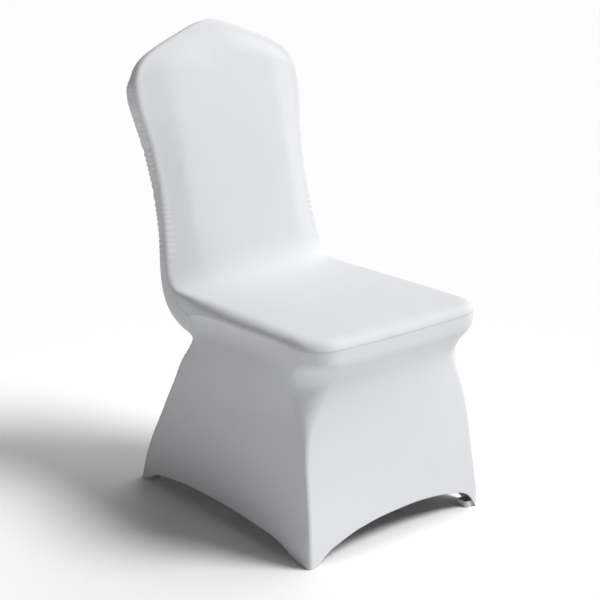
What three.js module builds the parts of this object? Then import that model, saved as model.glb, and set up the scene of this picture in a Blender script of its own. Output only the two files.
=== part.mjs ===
// Stretch cover for a banquet seat, sewn from five panels of white knit with four foot pockets.
// Millimetres, +Z up, front faces -Y, +X to the right. It hangs stretched, hollow and open below.
import * as THREE from "three";

// Cloth
const CLOTH = 1.5; // thickness of the knit
const SEAM_SHIFT = 0.22; // each panel stops this far short of the seam line
const WHITE = 0xe9eaec;
const POCKET_WHITE = 0xdddee1;
const KNIT_ROUGHNESS = 0.75;
const POCKET_ROUGHNESS = 0.85;

// Back rest
const BACK_LEAN = 0.25; // how far the back leans to the rear for each unit of height
const CROWN_STATIONS = 3; // the crown's curve dies away over this many stations
const REST_BOW = 2.6; // how square the padded face and the back are from side to side
const SEAM_DEPTH_TOP = 12; // from the face to the seam, over the crown
const SEAM_DEPTH_CORNER = 15;

// Seat and skirt
const SEAT_REACH = 26; // width of the rounded seat edge
const FRONT_SEAM_MIDDLE = 424; // height of the front seam at the middle
const FRONT_SEAM_END = 427.5;
const REAR_CORNER = 8; // the back panel wraps this far on to each side
const SEAT_HALF = 222;
const SEAT_FRONT = 248;
const SEAT_ROUND = 56; // plan radius of the seat's front corners, at the seam
const CORNER_SHARE = 1 - Math.SQRT1_2; // where a 45 degree point lies on a rounded corner
const SEAM_FADE = 45; // below the seam the skirt leaves the seam's own line over this height
const REAR_HEM_SHARE = 0.85; // the rear arch against the front one
const FOOT_CROWD = 0.55; // how much closer together the side columns are at the floor
const FLOOR_ZONE = 1; // cloth below this height stands upright on the floor

// Foot pockets
const POCKET_WIDTH = 27;
const POCKET_HEIGHT = 13;
const POCKET_ROUND = 6;
const POCKET_CORNER_STEPS = 4;
const POCKETS = [
  { name: "front_left", x: -226.4, y: -237.3, lean: 0.6 },
  { name: "front_right", x: 226.4, y: -237.3, lean: 0.6 },
  { name: "rear_left", x: -219, y: 324, lean: -3.6 },
  { name: "rear_right", x: 219, y: 324, lean: -3.6 },
]; // outer corner of each on the floor, and how far its mouth lies behind its floor

// Mesh density
const HALF_COLUMNS = 9;
const RIM_STEPS = 3;
const KNEE_HOLD = 0.64; // how closely a rounded edge keeps to its knee

// Outer line of the crown on the face: distance from the middle, height.
const CROWN = [
  { x: 0, z: 960 }, { x: 30, z: 955.5 }, { x: 60, z: 945.5 }, { x: 102, z: 930 },
  { x: 126, z: 920.5 }, { x: 150, z: 910 }, { x: 167, z: 901.5 }, { x: 182, z: 891.5 },
  { x: 191, z: 883 }, { x: 197, z: 875.5 },
];

// Side view of the cover from the crown's corner down to where the seat seam meets the back.
// Each pair is y, z. half is the outer half width and reach the width of the rounded edge.
const REST = [
  { face: [326, 872.5], middle: [326, 872.5], seam: [340, 868], back: [362, 862],
    backMiddle: [362, 862], half: 200, reach: 12.5 },
  { face: [320, 848], middle: [316, 848], seam: [349, 841], back: [357, 839],
    backMiddle: [359, 839], half: 212.5, reach: 13 },
  { face: [313, 820], middle: [307, 820], seam: [343, 813], back: [347.5, 811],
    backMiddle: [350, 811], half: 215, reach: 13 },
  { face: [302.5, 780], middle: [295, 780], seam: [329, 773], back: [336, 772],
    backMiddle: [339, 772], half: 210.5, reach: 13 },
  { face: [287.5, 720], middle: [279, 720], seam: [311, 714], back: [322, 712],
    backMiddle: [324, 712], half: 200, reach: 13 },
  { face: [268.5, 640], middle: [260, 641], seam: [287, 635], back: [301, 632],
    backMiddle: [302, 632], half: 195.3, reach: 13 },
  { face: [250, 560], middle: [241, 565], seam: [262, 555], back: [282.5, 553],
    backMiddle: [282, 553], half: 198.2, reach: 13 },
  { face: [236, 503], middle: [222, 516], seam: [245, 497], back: [274.5, 496],
    backMiddle: [273, 500], half: 204, reach: 13 },
  { face: [228, 474], middle: [207, 489], seam: [235, 464], back: [270, 464],
    backMiddle: [268, 466], half: 206.5, reach: 13.5 },
  { face: [217, 457], middle: [189, 469], seam: [224, 446], back: [263, 434],
    backMiddle: [262, 436], half: 208, reach: 14 },
  { face: [201, 448.5], middle: [167, 457], seam: [209, 430.5], back: [250, 407],
    backMiddle: [252, 412], half: 209.5, reach: 15 },
  { face: [184, 446.5], middle: [144, 453], seam: [193, 418], back: [230, 386],
    backMiddle: [241, 391], half: 210.5, reach: 15.5 },
  { face: [171, 446], middle: [124, 452], seam: [175, 411], back: [202, 370],
    backMiddle: [229, 373], half: 211, reach: 16 },
  { face: [158, 446], middle: [106, 452], seam: [158, 409], back: [175, 361.5],
    backMiddle: [220, 359], half: 212, reach: 17 },
];

// Seat from the back forward to its rounded front corner, laid out as the table above.
const SEAT = [
  { face: [120, 446], middle: [75, 452.5], seam: [120, 418], half: 216, reach: 21 },
  { face: [70, 446.5], middle: [35, 453], seam: [70, 423], half: 219.5, reach: 24 },
  { face: [15, 446.5], middle: [-8, 453], seam: [15, 425.5], half: 221.5, reach: SEAT_REACH },
  { face: [-45, 446.5], middle: [-55, 453], seam: [-45, 427], half: 222, reach: SEAT_REACH },
  { face: [-105, 446.5], middle: [-108, 452], seam: [-105, 428], half: 222, reach: SEAT_REACH },
  { face: [-155, 446], middle: [-158, 450], seam: [-155, 428], half: 221.5, reach: SEAT_REACH },
  { face: [-190, 445.5], middle: [-198, 447.5], seam: [-190, 428], half: 222, reach: SEAT_REACH },
  { face: [-213, 445], middle: [-222, 445], seam: [-231, 427.5], half: 213.4, reach: SEAT_REACH },
];

// Rear of the skirt from the seat seam down to the floor, where the back folds in and out again.
const TAIL = [
  { seam: [157, 386], back: [167, 357.5], backMiddle: [214, 347], half: 204 },
  { seam: [157, 357], back: [165.5, 352], backMiddle: [212, 334], half: 200.5 },
  { seam: [166, 334], back: [174, 334], backMiddle: [213, 317], half: 201.5 },
  { seam: [190, 300], back: [198, 300], backMiddle: [221, 290], half: 204 },
  { seam: [214.5, 250], back: [222.5, 250], backMiddle: [236, 245], half: 207 },
  { seam: [240, 200], back: [248, 200], backMiddle: [256, 197], half: 210 },
  { seam: [265, 150], back: [273, 150], backMiddle: [276, 150], half: 213 },
  { seam: [290.5, 100], back: [298.5, 100], backMiddle: [297, 105], half: 216 },
  { seam: [309.5, 50], back: [317.5, 50], backMiddle: [309, 70], half: 219 },
  { seam: [322, 0], back: [330, 0], backMiddle: [316, 50], half: 222 },
];

// Front corner of the skirt by height: half width, distance to the front, plan radius, and how far
// the cloth between the corners swells outwards (or bows in, below zero) at the front and sides.
const CORNER = [
  { z: 428, half: 222, front: 248, round: 56, swellFront: 0, swellSide: 0 },
  { z: 404, half: 221.5, front: 247, round: 56, swellFront: 0, swellSide: 0 },
  { z: 392, half: 220.5, front: 243, round: 59, swellFront: 2, swellSide: 0.5 },
  { z: 378, half: 218, front: 233, round: 63, swellFront: 6, swellSide: 2 },
  { z: 362, half: 216, front: 221, round: 64, swellFront: 12, swellSide: 4 },
  { z: 342, half: 214, front: 211, round: 58, swellFront: 15, swellSide: 5.5 },
  { z: 310, half: 213, front: 207, round: 42, swellFront: 14, swellSide: 6 },
  { z: 270, half: 213.5, front: 208.6, round: 20, swellFront: 10, swellSide: 5 },
  { z: 210, half: 219, front: 215.8, round: 10, swellFront: 4, swellSide: 2.5 },
  { z: 150, half: 222.5, front: 224.4, round: 9, swellFront: -1, swellSide: -1 },
  { z: 90, half: 226, front: 233.7, round: 9, swellFront: -5, swellSide: -4 },
  { z: 45, half: 229.5, front: 239.5, round: 9, swellFront: -7, swellSide: -6 },
  { z: 0, half: 230, front: 242, round: 9, swellFront: -8, swellSide: -7 },
];

// Height of the hem: across the front from the left corner (-1) to the right (1), and along a side
// from the rear corner (0) to the front one (1). The rear arch is the front one, a little lower.
const FRONT_HEM = [
  { at: -1, z: 0 }, { at: -0.965, z: 0 }, { at: -0.93, z: 2 }, { at: -0.885, z: 7 },
  { at: -0.82, z: 17 }, { at: -0.75, z: 24.5 }, { at: -0.68, z: 29.5 }, { at: -0.48, z: 41.5 },
  { at: -0.34, z: 46.5 }, { at: -0.2, z: 50.5 }, { at: 0, z: 53 }, { at: 0.23, z: 54.5 },
  { at: 0.38, z: 53.5 }, { at: 0.53, z: 50.5 }, { at: 0.68, z: 45 }, { at: 0.8, z: 39.5 },
  { at: 0.87, z: 32 }, { at: 0.92, z: 21 }, { at: 0.95, z: 10 }, { at: 0.975, z: 0 }, { at: 1, z: 0 },
];
const SIDE_HEM = [
  { at: 0, z: 0 }, { at: 0.018, z: 0 }, { at: 0.034, z: 5 }, { at: 0.068, z: 17.5 },
  { at: 0.108, z: 25 }, { at: 0.188, z: 31 }, { at: 0.3, z: 35.5 }, { at: 0.45, z: 36.5 },
  { at: 0.587, z: 35 }, { at: 0.723, z: 30.5 }, { at: 0.79, z: 28 }, { at: 0.853, z: 20.5 },
  { at: 0.91, z: 8 }, { at: 0.945, z: 1.5 }, { at: 0.96, z: 0 }, { at: 1, z: 0 },
];

const backUp = new THREE.Vector3(0, BACK_LEAN, 1).normalize();
const backInto = new THREE.Vector3(0, 1, -BACK_LEAN).normalize();

// Value of a table's column at a place in another column, eased between rows.
function lookUp(table, key, place, column) {
  const rising = table[table.length - 1][key] > table[0][key];
  const rows = rising ? table : [...table].reverse();
  const last = rows.length - 1;
  const inside = Math.min(Math.max(place, rows[0][key]), rows[last][key]);
  let row = 0;
  while (row < last - 1 && rows[row + 1][key] < inside) row += 1;
  const slope = (i) => {
    const low = rows[Math.max(i - 1, 0)];
    const high = rows[Math.min(i + 1, last)];
    return (high[column] - low[column]) / (high[key] - low[key]);
  };
  const from = rows[row];
  const to = rows[row + 1];
  const span = to[key] - from[key];
  const t = (inside - from[key]) / span;
  const bend = t * t * (3 - 2 * t);
  const leave = t * (1 - t) * (1 - t) * span * slope(row);
  const arrive = t * t * (t - 1) * span * slope(row + 1);
  return from[column] + (to[column] - from[column]) * bend + leave + arrive;
}

// Point or number of a station table at a place between two rows, eased through the rows.
function station(table, place, column) {
  const points = table.map((row) => {
    const value = row[column];
    return Array.isArray(value) ? new THREE.Vector3(0, ...value) : new THREE.Vector3(value, 0, 0);
  });
  const point = new THREE.CatmullRomCurve3(points, false, "centripetal").getPoint(place / (table.length - 1));
  return Array.isArray(table[0][column]) ? point : point.x;
}

// Places across a panel, closer together towards its edges.
const across = Array.from({ length: 2 * HALF_COLUMNS + 1 }, (_, i) => {
  return Math.sin(((i - HALF_COLUMNS) / HALF_COLUMNS) * Math.PI / 2);
});
const lastColumn = across.length - 1;

// Places down the stations: the back rest, then the seat, then the tail below the seat seam.
const faceStations = [...REST, ...SEAT];
const restPlaces = [0, 0.5, 1, 1.5, 2, 2.5, 3, 3.5, 4, 4.5, 5, 5.5, 6, 6.5, 7, 8, 9, 10, 11, 12, 13];
const seatPlaces = [13.5, 14, 14.5, 15, 15.5, 16, 16.5, 17, 17.5, 18, 18.5, 19, 19.5, 20, 20.4, 20.75, 21];
const tailPlaces = [0, 1, 2, 3, 4, 5, 6, 7, 8, 8.5, 9];
const meetRow = restPlaces.length - 1;

// Distance that a rounded corner lies inside a sharp one, at a distance from the sharp corner.
function cornerInset(distance, round) {
  const inside = Math.max(0, round - distance);
  return round - Math.sqrt(round * round - inside * inside);
}

// How far the crown rises along the leaning back at one column, above its corner.
function crownRise(at) {
  const inset = REST[0].reach * CORNER_SHARE;
  const corner = REST[0].half - inset;
  const rise = lookUp(CROWN, "x", Math.abs(at) * corner, "z") - lookUp(CROWN, "x", corner, "z");
  return (rise - inset * (1 - at * at)) / backUp.z;
}

// Point of the face or the back, at a station and a column from -1 to 1.
function panelPoint(table, place, at, sideKey, middleKey) {
  const side = station(table, place, sideKey);
  const point = side.lerp(station(table, place, middleKey), 1 - Math.abs(at) ** REST_BOW);
  const reach = table === TAIL ? REAR_CORNER : station(table, place, "reach");
  point.x = at * (station(table, place, "half") - reach);
  if (table === TAIL) return point;
  const fade = Math.max(0, 1 - place / CROWN_STATIONS);
  return point.addScaledVector(backUp, crownRise(at) * fade);
}

// A sheet under construction: points, triangles, and the inward direction of its seam points.
class Sheet {
  points = [];
  triangles = [];
  inward = new Map();

  add(point, inward) {
    if (inward) this.inward.set(this.points.length, inward.clone().normalize());
    return this.points.push(point.clone()) - 1;
  }

  quad(a, b, c, d) {
    this.triangles.push([a, b, c], [a, c, d]);
  }

  // Grid of points by row, downwards, then column, left to right as seen from outside.
  grid(rows) {
    const ids = rows.map((row) => row.map((point) => this.add(point)));
    for (let i = 0; i < ids.length - 1; i += 1) {
      for (let j = 0; j < ids[i].length - 1; j += 1) {
        this.quad(ids[i][j], ids[i + 1][j], ids[i + 1][j + 1], ids[i][j + 1]);
      }
    }
    return ids;
  }

  normals() {
    const normals = this.points.map(() => new THREE.Vector3());
    for (const corners of this.triangles) {
      const [a, b, c] = corners.map((id) => this.points[id]);
      const face = b.clone().sub(a).cross(c.clone().sub(a));
      for (const id of corners) normals[id].add(face);
    }
    return normals.map((normal) => normal.normalize());
  }

  // Closed solid: the sheet, a copy of it one cloth thickness inwards, and a strip round the edge.
  solid() {
    const normals = this.normals();
    const count = this.points.length;
    const inner = this.points.map((point, id) => {
      const direction = this.inward.get(id) ?? normals[id].clone().negate();
      if (point.z < FLOOR_ZONE) direction.setZ(0).normalize();
      return point.clone().addScaledVector(direction, CLOTH);
    });
    const open = new Map();
    for (const [a, b, c] of this.triangles) {
      for (const [from, to] of [[a, b], [b, c], [c, a]]) {
        if (!open.delete(`${to} ${from}`)) open.set(`${from} ${to}`, [from, to]);
      }
    }
    const index = this.triangles.flatMap(([a, b, c]) => [a, b, c, count + c, count + b, count + a]);
    for (const [from, to] of open.values()) {
      index.push(to, from, count + from, to, count + from, count + to);
    }
    return closedGeometry([...this.points, ...inner], index);
  }
}

function closedGeometry(points, index) {
  const geometry = new THREE.BufferGeometry();
  const positions = points.flatMap((point) => point.toArray());
  geometry.setAttribute("position", new THREE.Float32BufferAttribute(positions, 3));
  geometry.setIndex(index);
  return geometry;
}

// Edge places of a grid as [row, column], anticlockwise as seen from outside. The loop starts at
// the foot's right corner, goes up, across the top and down, and closes across the foot if asked.
function rimPlaces(rowCount, closed) {
  const up = Array.from({ length: rowCount }, (_, i) => [rowCount - 1 - i, lastColumn]);
  const over = Array.from({ length: lastColumn - 1 }, (_, i) => [0, lastColumn - 1 - i]);
  const down = Array.from({ length: rowCount }, (_, i) => [i, 0]);
  const foot = Array.from({ length: lastColumn - 1 }, (_, i) => [rowCount - 1, i + 1]);
  return closed ? [...up, ...over, ...down, ...foot] : [...up, ...over, ...down];
}

// Sews a rounded rim to a grid's edge. seamAt gives, for a row, a column, the edge point and its
// outward direction, the knee of the rounding, the seam point that the rim reaches and the inward
// direction there.
function addRim(sheet, ids, places, closed, seamAt) {
  const normals = sheet.normals();
  const count = places.length;
  const edge = places.map(([row, column]) => ids[row][column]);
  const turns = edge.map((id, i) => {
    const before = closed ? (i - 1 + count) % count : Math.max(i - 1, 0);
    const after = closed ? (i + 1) % count : Math.min(i + 1, count - 1);
    const along = sheet.points[edge[after]].clone().sub(sheet.points[edge[before]]);
    const outward = along.cross(normals[id]).normalize();
    const [row, column] = places[i];
    return { from: sheet.points[id], ...seamAt(row, column, sheet.points[id], outward) };
  });
  const rings = turns.map(({ from, knee, seam, inward }) => {
    const leave = from.clone().lerp(knee, KNEE_HOLD);
    const arrive = seam.clone().lerp(knee, KNEE_HOLD);
    const curve = new THREE.CubicBezierCurve3(from, leave, arrive, seam);
    const band = knee.clone().sub(seam).normalize();
    return Array.from({ length: RIM_STEPS }, (_, step) => {
      const point = curve.getPoint((step + 1) / RIM_STEPS);
      if (step < RIM_STEPS - 1) return sheet.add(point);
      return sheet.add(point.addScaledVector(band, SEAM_SHIFT), inward);
    });
  });
  for (let i = 0; i < (closed ? count : count - 1); i += 1) {
    const next = (i + 1) % count;
    let here = edge[i];
    let there = edge[next];
    for (let step = 0; step < RIM_STEPS; step += 1) {
      sheet.quad(here, rings[i][step], rings[next][step], there);
      here = rings[i][step];
      there = rings[next][step];
    }
  }
}

// Panel for the inside of the back and the seat, in one piece down to the seat seam. It also
// gives the seam line: by column over the crown and along the front, by row down each side.
function frontSeatPanel() {
  const sheet = new Sheet();
  const places = [...restPlaces, ...seatPlaces];
  const rows = places.map((place) => {
    return across.map((at) => panelPoint(faceStations, place, at, "face", "middle"));
  });
  const lastRow = rows.length - 1;
  const seatHalf = SEAT_HALF - SEAT_REACH;
  for (const point of rows[lastRow]) {
    point.y = SEAT_REACH - SEAT_FRONT + cornerInset(seatHalf - Math.abs(point.x), SEAT_ROUND - SEAT_REACH);
  }
  const seamLine = { crown: [], front: [], left: [], right: [] };
  const seamAt = (row, column, from, outward) => {
    const onSide = column === 0 || column === lastColumn;
    const reach = station(faceStations, places[row], "reach");
    const knee = from.clone().addScaledVector(outward, reach);
    let seam = station(faceStations, places[row], "seam").setX(knee.x);
    let inward = new THREE.Vector3(-Math.sign(knee.x), 0, 0);
    if (row === 0 || row === lastRow) inward = outward.clone().negate();
    if (row === 0) {
      const share = (from.x / (REST[0].half - reach)) ** 2;
      const depth = SEAM_DEPTH_TOP + (SEAM_DEPTH_CORNER - SEAM_DEPTH_TOP) * share;
      seam = knee.clone().addScaledVector(backInto, depth);
      seamLine.crown[column] = { seam, inward };
    }
    if (row === lastRow) {
      const height = FRONT_SEAM_MIDDLE + (FRONT_SEAM_END - FRONT_SEAM_MIDDLE) * across[column] ** 2;
      seam = knee.clone().setZ(height);
      seamLine.front[column] = { seam, inward };
    }
    if (onSide) seamLine[column === 0 ? "left" : "right"][row] = { seam, inward };
    return { knee, seam, inward };
  };
  addRim(sheet, sheet.grid(rows), rimPlaces(rows.length, true), true, seamAt);
  return { geometry: sheet.solid(), seamLine };
}

// Seam point between the back panel and the skirt, on the left, at a place down the tail.
function tailSeam(place) {
  return station(TAIL, place, "seam").setX(-station(TAIL, place, "half"));
}

// Panel for the outside of the back, with both side bands, from the crown to the rear hem.
function backPanel(seamLine) {
  const sheet = new Sheet();
  const seenFromBehind = [...across].reverse();
  const rows = [
    ...restPlaces.map((place) => {
      return seenFromBehind.map((at) => panelPoint(REST, place, at, "back", "backMiddle"));
    }),
    ...tailPlaces.map((place) => {
      return seenFromBehind.map((at) => panelPoint(TAIL, place, at, "back", "backMiddle"));
    }),
  ];
  rows[rows.length - 1].forEach((point, column) => {
    point.z = lookUp(FRONT_HEM, "at", -Math.abs(seenFromBehind[column]), "z") * REAR_HEM_SHARE;
  });
  const seamAt = (row, column, from, outward) => {
    const onRest = row <= meetRow;
    const reach = onRest ? station(REST, restPlaces[row], "reach") : REAR_CORNER;
    const knee = from.clone().addScaledVector(outward, reach);
    if (row === 0) return { knee, ...seamLine.crown[lastColumn - column] };
    if (onRest) return { knee, ...seamLine[column === 0 ? "right" : "left"][row] };
    const seam = tailSeam(tailPlaces[row - meetRow - 1]);
    seam.x *= -Math.sign(from.x);
    knee.setX(seam.x);
    return { knee, seam, inward: new THREE.Vector3(-Math.sign(from.x), 0, 0) };
  };
  addRim(sheet, sheet.grid(rows), rimPlaces(rows.length, false), false, seamAt);
  return sheet.solid();
}

// Share of the way down a skirt, by row, taken from the rear seam that all the rows start at.
const rearEdge = (seamLine) => [seamLine.left[meetRow].seam, ...tailPlaces.map((place) => tailSeam(place))];
function rowShares(seamLine) {
  const top = seamLine.left[meetRow].seam.z;
  return rearEdge(seamLine).map((point) => (top - point.z) / top);
}

// Point of the front skirt at a column from -1 to 1 and a height.
function frontSkirtPoint(at, z) {
  const half = lookUp(CORNER, "z", z, "half");
  const round = lookUp(CORNER, "z", z, "round");
  const x = at * (half - CORNER_SHARE * round);
  const swell = lookUp(CORNER, "z", z, "swellFront") * (1 - at * at);
  const y = cornerInset(half - Math.abs(x), round) - lookUp(CORNER, "z", z, "front") - swell;
  return new THREE.Vector3(x, y, z);
}

// Point of the left skirt at a share of the way forward, a height, and the rear edge's y and half.
function sideSkirtPoint(forward, z, rearY, rearHalf) {
  const half = lookUp(CORNER, "z", z, "half");
  const round = lookUp(CORNER, "z", z, "round");
  const front = lookUp(CORNER, "z", z, "front");
  const y = rearY - forward * (rearY + front - CORNER_SHARE * round);
  const swell = lookUp(CORNER, "z", z, "swellSide") * 4 * forward * (1 - forward);
  const x = cornerInset(y + front, round) - THREE.MathUtils.lerp(rearHalf, half, forward) - swell;
  return new THREE.Vector3(x, y, z);
}

// Grid of a skirt: each column hangs from its seam point to the hem, leaving the seam's own line.
function hangFrom(seams, shares, hemHeight, pointAt) {
  return shares.map((share, row) => seams.map((seam, column) => {
    const z = seam.z + (hemHeight(column) - seam.z) * share;
    const fade = Math.max(0, 1 - (seam.z - z) / SEAM_FADE) ** 2;
    const drift = seam.clone().sub(pointAt(column, seam.z, 0)).multiplyScalar(fade);
    return pointAt(column, z, row).add(drift);
  }));
}

// Pulls the edge of a skirt's grid back from its seams and sets the seam points' inward direction.
function sewnSheet(rows, inwardAt) {
  const sheet = new Sheet();
  const width = rows[0].length - 1;
  const pull = (row, column, toRow, toColumn) => {
    return rows[toRow][toColumn].clone().sub(rows[row][column]).setLength(SEAM_SHIFT);
  };
  const shifts = rows.map((row, i) => row.map((_, j) => {
    const shift = new THREE.Vector3();
    if (i === 0) shift.add(pull(0, j, 1, j));
    if (j === 0) shift.add(pull(i, 0, i, 1));
    if (j === width) shift.add(pull(i, width, i, width - 1));
    return shift;
  }));
  const ids = sheet.grid(rows.map((row, i) => row.map((point, j) => point.clone().add(shifts[i][j]))));
  ids.forEach((row, i) => row.forEach((id, j) => {
    const inward = inwardAt(i, j);
    if (inward) sheet.inward.set(id, inward.clone().normalize());
  }));
  return sheet;
}

const diagonal = new THREE.Vector3(1, 1, 0).normalize();

function frontSkirt(seamLine) {
  const hem = (column) => lookUp(FRONT_HEM, "at", across[column], "z");
  const pointAt = (column, z) => frontSkirtPoint(across[column], z);
  const seams = seamLine.front.map(({ seam }) => seam);
  const rows = hangFrom(seams, rowShares(seamLine), hem, pointAt);
  return sewnSheet(rows, (row, column) => {
    if (row === 0) return seamLine.front[column].inward;
    if (column === 0) return diagonal;
    return column === lastColumn ? diagonal.clone().setX(-diagonal.x) : null;
  }).solid();
}

// Left skirt, or the right one as its mirror image.
function sideSkirt(seamLine, mirror) {
  const topSeam = seamLine.left.slice(meetRow);
  const seams = topSeam.map(({ seam }) => seam);
  const edge = rearEdge(seamLine);
  const shares = rowShares(seamLine);
  const length = seams[0].y - seams[seams.length - 1].y;
  const places = seams.map((seam) => (seams[0].y - seam.y) / length);
  const last = seams.length - 1;
  const crowd = (place) => place - FOOT_CROWD * Math.sin(2 * Math.PI * place) / (2 * Math.PI);
  const hem = (column) => lookUp(SIDE_HEM, "at", crowd(places[column]), "z");
  const pointAt = (column, z, row) => {
    const low = 1 - z / seams[column].z;
    const forward = places[column] + (crowd(places[column]) - places[column]) * low;
    return sideSkirtPoint(forward, z, edge[row].y, -edge[row].x);
  };
  const rows = hangFrom(seams, shares, hem, pointAt);
  rows.forEach((row, i) => row[0].copy(edge[i]));
  const inwardAt = (row, column) => {
    if (row === 0) return topSeam[column].inward;
    if (column === last) return diagonal;
    return column === 0 ? new THREE.Vector3(1, 0, 0) : null;
  };
  if (!mirror) return sewnSheet(rows, inwardAt).solid();
  const flip = (point) => point.clone().setX(-point.x);
  const flipped = rows.map((row) => row.map(flip).reverse());
  return sewnSheet(flipped, (row, column) => {
    const inward = inwardAt(row, last - column);
    return inward && flip(inward);
  }).solid();
}

// Cup of cloth on the floor, open at the top, its outer corner towards the skirt's own corner.
function footPocket({ x, y, lean }) {
  const centreX = x - Math.sign(x) * POCKET_WIDTH / 2;
  const centreY = y - Math.sign(y) * POCKET_WIDTH / 2;
  const loop = (inset, z, shift) => {
    const half = POCKET_WIDTH / 2 - inset;
    const round = POCKET_ROUND - inset;
    return [[1, 1], [-1, 1], [-1, -1], [1, -1]].flatMap(([sx, sy], quarter) => {
      return Array.from({ length: POCKET_CORNER_STEPS }, (_, i) => {
        const turn = (quarter + i / (POCKET_CORNER_STEPS - 1)) * Math.PI / 2;
        return new THREE.Vector3(
          centreX + sx * (half - round) + round * Math.cos(turn),
          centreY + sy * (half - round) + round * Math.sin(turn) + shift,
          z,
        );
      });
    });
  };
  const loops = [
    loop(0, 0, 0),
    loop(0, POCKET_HEIGHT, lean),
    loop(CLOTH, POCKET_HEIGHT, lean),
    loop(CLOTH, CLOTH, lean * CLOTH / POCKET_HEIGHT),
  ];
  const size = loops[0].length;
  const index = [];
  for (let ring = 0; ring < loops.length - 1; ring += 1) {
    for (let i = 0; i < size; i += 1) {
      const a = ring * size + i;
      const b = ring * size + (i + 1) % size;
      index.push(a, b, b + size, a, b + size, a + size);
    }
  }
  const inside = (loops.length - 1) * size;
  for (let i = 1; i < size - 1; i += 1) {
    index.push(0, i + 1, i, inside, inside + i, inside + i + 1);
  }
  return closedGeometry(loops.flat(), index);
}

function addPiece(group, name, geometry, color, roughness) {
  const material = new THREE.MeshStandardMaterial({ color, roughness, metalness: 0 });
  const mesh = new THREE.Mesh(geometry, material);
  mesh.name = name;
  group.add(mesh);
}

const cover = new THREE.Group();
const { geometry: frontSeat, seamLine } = frontSeatPanel();
addPiece(cover, "front_seat_panel", frontSeat, WHITE, KNIT_ROUGHNESS);
addPiece(cover, "back_panel", backPanel(seamLine), WHITE, KNIT_ROUGHNESS);
addPiece(cover, "skirt_front", frontSkirt(seamLine), WHITE, KNIT_ROUGHNESS);
addPiece(cover, "skirt_left", sideSkirt(seamLine, false), WHITE, KNIT_ROUGHNESS);
addPiece(cover, "skirt_right", sideSkirt(seamLine, true), WHITE, KNIT_ROUGHNESS);
for (const pocket of POCKETS) {
  addPiece(cover, `foot_pocket_${pocket.name}`, footPocket(pocket), POCKET_WHITE, POCKET_ROUGHNESS);
}

// The origin is on the floor, under the middle of the cover's box.
const box = new THREE.Box3().setFromObject(cover);
cover.position.y = -(box.min.y + box.max.y) / 2;

export default cover;
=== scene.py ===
import functools
import math

import bpy
import numpy as np
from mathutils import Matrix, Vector, kdtree, noise


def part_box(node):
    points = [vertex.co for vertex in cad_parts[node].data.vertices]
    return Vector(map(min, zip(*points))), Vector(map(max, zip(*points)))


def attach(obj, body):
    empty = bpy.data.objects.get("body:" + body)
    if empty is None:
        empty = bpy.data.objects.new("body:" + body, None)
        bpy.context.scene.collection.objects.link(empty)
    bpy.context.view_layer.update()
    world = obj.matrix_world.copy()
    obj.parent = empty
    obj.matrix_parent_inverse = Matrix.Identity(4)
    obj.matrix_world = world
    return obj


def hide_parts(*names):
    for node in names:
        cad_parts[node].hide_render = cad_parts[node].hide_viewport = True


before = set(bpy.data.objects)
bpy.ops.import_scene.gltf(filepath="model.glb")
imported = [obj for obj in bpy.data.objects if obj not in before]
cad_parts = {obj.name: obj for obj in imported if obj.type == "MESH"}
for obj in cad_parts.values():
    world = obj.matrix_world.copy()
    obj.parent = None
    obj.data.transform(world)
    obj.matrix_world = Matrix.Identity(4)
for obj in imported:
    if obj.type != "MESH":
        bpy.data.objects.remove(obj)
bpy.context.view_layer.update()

bl_info = {
    "name": "Stretch seat cover",
    "version": (1, 0, 0),
    "blender": (4, 5, 0),
    "location": "View3D > Sidebar > Cover",
    "description": "Builds a white stretch cover of knit panels with arched hems and foot pockets",
    "category": "Object",
}

# Lengths here are millimetres, and MM turns them into Blender's metres.
MM = 0.001


def named_rows(columns, rows):
    """Rows of a table, each with its values by the name of their column."""
    return [dict(zip(columns.split(), row)) for row in rows]


# Side view of the cover from the crown's corner down to where the seat seam meets the back. Each
# pair is y, z: the face at its side and its middle, the seam on the side band, and the outside of
# the back at its side and its middle. half is the outer half width, and reach the width of the
# rounded edges.
REST = named_rows("face middle seam back back_middle half reach", [
    ((326, 872.5), (326, 872.5), (340, 868), (362, 862), (362, 862), 200, 12.5),
    ((320, 848), (316, 848), (349, 841), (357, 839), (359, 839), 212.5, 13),
    ((313, 820), (307, 820), (343, 813), (347.5, 811), (350, 811), 215, 13),
    ((302.5, 780), (295, 780), (329, 773), (336, 772), (339, 772), 210.5, 13),
    ((287.5, 720), (279, 720), (311, 714), (322, 712), (324, 712), 200, 13),
    ((268.5, 640), (260, 641), (287, 635), (301, 632), (302, 632), 195.3, 13),
    ((250, 560), (241, 565), (262, 555), (282.5, 553), (282, 553), 198.2, 13),
    ((236, 503), (222, 516), (245, 497), (274.5, 496), (273, 500), 204, 13),
    ((228, 474), (207, 489), (235, 464), (270, 464), (268, 466), 206.5, 13.5),
    ((217, 457), (189, 469), (224, 446), (263, 434), (262, 436), 208, 14),
    ((201, 448.5), (167, 457), (209, 430.5), (250, 407), (252, 412), 209.5, 15),
    ((184, 446.5), (144, 453), (193, 418), (230, 386), (241, 391), 210.5, 15.5),
    ((171, 446), (124, 452), (175, 411), (202, 370), (229, 373), 211, 16),
    ((158, 446), (106, 452), (158, 409), (175, 361.5), (220, 359), 212, 17),
])

# Seat at its front: width of the rounded edge, half width, distance to the front, corner radius.
SEAT_REACH = 26
SEAT_HALF = 222
SEAT_FRONT = 248
SEAT_ROUND = 56

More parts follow.
